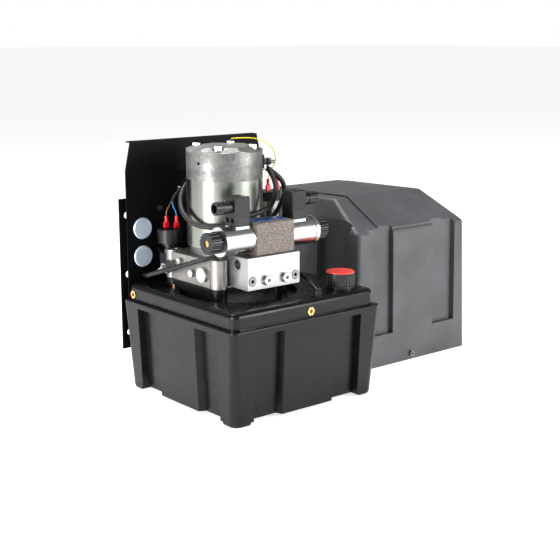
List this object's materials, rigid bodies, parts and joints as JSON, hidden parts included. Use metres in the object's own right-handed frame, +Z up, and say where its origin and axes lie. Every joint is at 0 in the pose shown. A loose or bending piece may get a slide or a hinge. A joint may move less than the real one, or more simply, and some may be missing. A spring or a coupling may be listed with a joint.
{
  "type": "hydraulic power unit",
  "caption": "Compact DC hydraulic power unit: motor and solenoid valve on a plastic tank with a wall bracket, its moulded cover standing beside it.",
  "frame": {"origin": "on the floor in the middle of the whole footprint, power unit and cover together", "axes": "+X to the right from the unit to its cover, +Y to the back where the wall rails are, +Z up"},
  "size_m": [0.6199, 0.3919, 0.4084],
  "materials": {
    "tank_plastic": "moulded polyethylene, satin",
    "cover_plastic": "moulded polyethylene, satin",
    "zinc_steel": "zinc plated, faint yellow-green tint",
    "machined_aluminium": "milled",
    "cast_aluminium": "as cast, mottled",
    "cast_iron": "phosphated, speckled",
    "bright_steel": "turned",
    "dark_steel": "black oxide",
    "brass": "turned",
    "tinned_copper": "tinned",
    "black_plastic": "glass-filled nylon",
    "black_rubber": "cable sheath",
    "nitrile": "moulded seal",
    "plate_steel": "powder coated",
    "rail_steel": "zinc plated",
    "blue_label": "satin",
    "red_disc": "glossy",
    "red_insulation": "glossy",
    "clear_blue_plastic": "translucent",
    "wire_insulation": "yellow, brown, blue and red",
    "ferrite": "sintered",
    "copper_winding": "enamelled copper and iron",
    "carbon": "pressed carbon"
  },
  "bodies": {
    "power_unit": {"tank_shell": "tank_plastic", "tank_inserts": "brass", "filler_neck": "black_plastic", "filler_seal": "nitrile", "manifold_gasket": "nitrile", "manifold_body": "machined_aluminium", "socket_screws": "dark_steel", "port_plugs": "bright_steel", "relief_valve": "zinc_steel", "relief_adjuster": "bright_steel", "valve_block": "machined_aluminium", "valve_body": "cast_iron", "valve_label": "blue_label", "centring_springs": "bright_steel", "core_tubes": "zinc_steel", "solenoid_coils": "zinc_steel", "coil_nuts": "black_plastic", "din_plugs": "black_plastic", "plug_glands": "black_plastic", "motor_flange": "cast_aluminium", "motor_can": "zinc_steel", "motor_magnets": "ferrite", "motor_bearings": "brass", "brush_holder": "black_plastic", "motor_brushes": "carbon", "motor_end_cap": "cast_aluminium", "motor_bolts": "zinc_steel", "pump_body": "cast_aluminium", "pump_cover": "cast_aluminium", "tank_pipes": "bright_steel", "contactor_bracket": "rail_steel", "contactor_body": "zinc_steel", "contactor_cap": "black_plastic", "pressure_switch": "black_plastic", "spade_connectors": "red_insulation", "backplate": "plate_steel", "mounting_rails": "rail_steel", "plate_screws": "zinc_steel", "blanking_plugs": "clear_blue_plastic", "terminal_insulators": "black_plastic", "terminal_studs": "zinc_steel", "lead_lugs": "black_plastic", "power_leads": "black_rubber", "control_cables": "black_rubber", "signal_wires": "wire_insulation", "drain_hose": "black_rubber", "drain_fittings": "black_plastic"},
    "rotor": {"motor_rotor": "copper_winding", "motor_shaft": "bright_steel", "drive_gear": "bright_steel"},
    "idler": {"driven_gear": "bright_steel"},
    "spool_train": {"valve_spool": "bright_steel", "solenoid_armatures": "bright_steel", "override_pins": "brass"},
    "plunger": {"contactor_plunger": "bright_steel"},
    "filler_lid": {"filler_cap": "black_plastic", "filler_cap_disc": "red_disc"},
    "cover_hood": {"cover": "cover_plastic", "cover_screw": "dark_steel"}
  },
  "joints": [
    {"name": "rotor_spin", "type": "hinge", "parent": "power_unit", "child": "rotor", "pos_m": [-0.192, -0.022, 0.3], "axis": [0, 0, 1], "continuous": true},
    {"name": "idler_spin", "type": "hinge", "parent": "power_unit", "child": "idler", "pos_m": [-0.168, -0.022, 0.14], "axis": [0, 0, 1], "continuous": true},
    {"name": "spool_shift", "type": "slide", "parent": "power_unit", "child": "spool_train", "axis": [1, 0, 0], "range_m": [-0.0025, 0.0025], "stiffness_N_per_m": 3000, "deforming": ["centring_springs"]},
    {"name": "plunger_pull", "type": "slide", "parent": "power_unit", "child": "plunger", "axis": [0, 0, 1], "range_m": [0, 0.003], "stiffness_N_per_m": 800, "springref_m": -0.002},
    {"name": "filler_lid_lift", "type": "slide", "parent": "power_unit", "child": "filler_lid", "axis": [0, 0, 1], "range_m": [0, 0.06]},
    {"name": "cover_lift", "type": "slide", "parent": "power_unit", "child": "cover_hood", "axis": [0, 0, 1], "range_m": [0, 0.3]}
  ],
  "couplings": [
    {"joint": "idler_spin", "follows": "rotor_spin", "ratio": -1}
  ]
}
